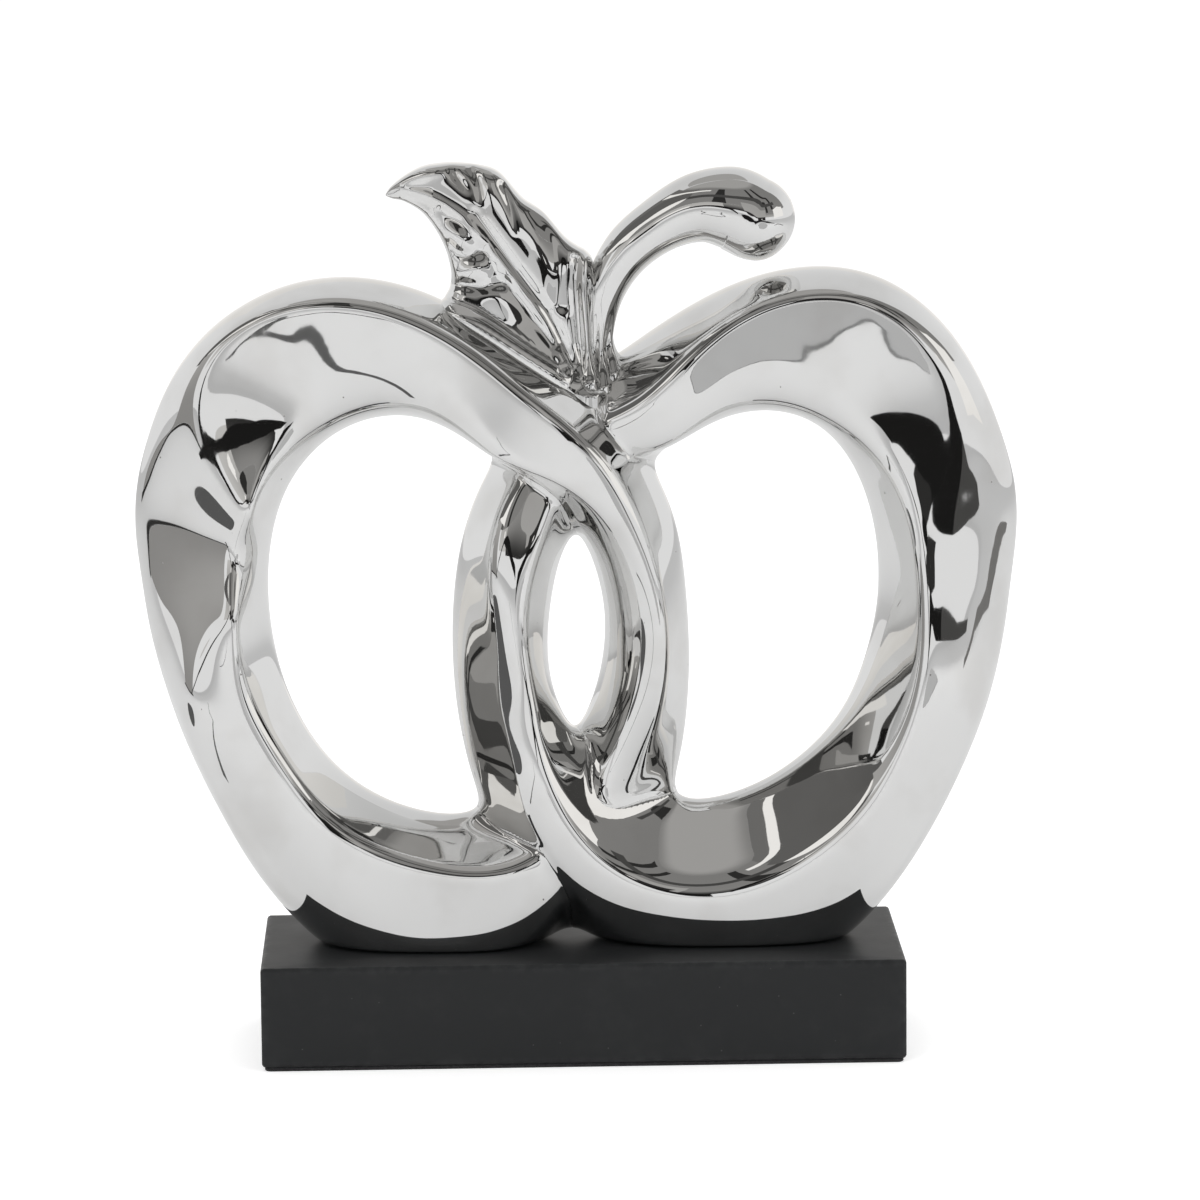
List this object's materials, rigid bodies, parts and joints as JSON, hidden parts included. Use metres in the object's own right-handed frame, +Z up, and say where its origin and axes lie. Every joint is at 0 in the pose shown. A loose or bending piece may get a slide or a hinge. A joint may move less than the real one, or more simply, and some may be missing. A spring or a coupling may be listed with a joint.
{
  "type": "apple sculpture",
  "caption": "Free-standing apple ornament of interlaced hollow ceramic rings with a mirror chrome face, a ribbed leaf and a curved stem, bolted to a black block with a felt underside.",
  "frame": {"origin": "middle of the underside of the felt pad, on the surface that the ornament stands on", "axes": "+Z up, +X to the right of the front view, -Y towards the viewer"},
  "size_m": [0.3185, 0.09, 0.3235],
  "materials": {
    "chrome_glaze": "mirror chrome film on glazed ceramic",
    "black_lacquer": "satin black lacquer",
    "black_felt": "pressed felt",
    "plaster": "set casting plaster",
    "zinc_steel": "zinc plated"
  },
  "bodies": {
    "root": {"left_ring": "chrome_glaze", "right_ring": "chrome_glaze", "leaf": "chrome_glaze", "stem": "chrome_glaze", "base_block": "black_lacquer", "felt_pad": "black_felt", "anchor_plug_left": "plaster", "anchor_plug_right": "plaster", "stud_left": "zinc_steel", "stud_right": "zinc_steel", "washer_left": "zinc_steel", "washer_right": "zinc_steel", "nut_left": "zinc_steel", "nut_right": "zinc_steel"}
  },
  "joints": []
}
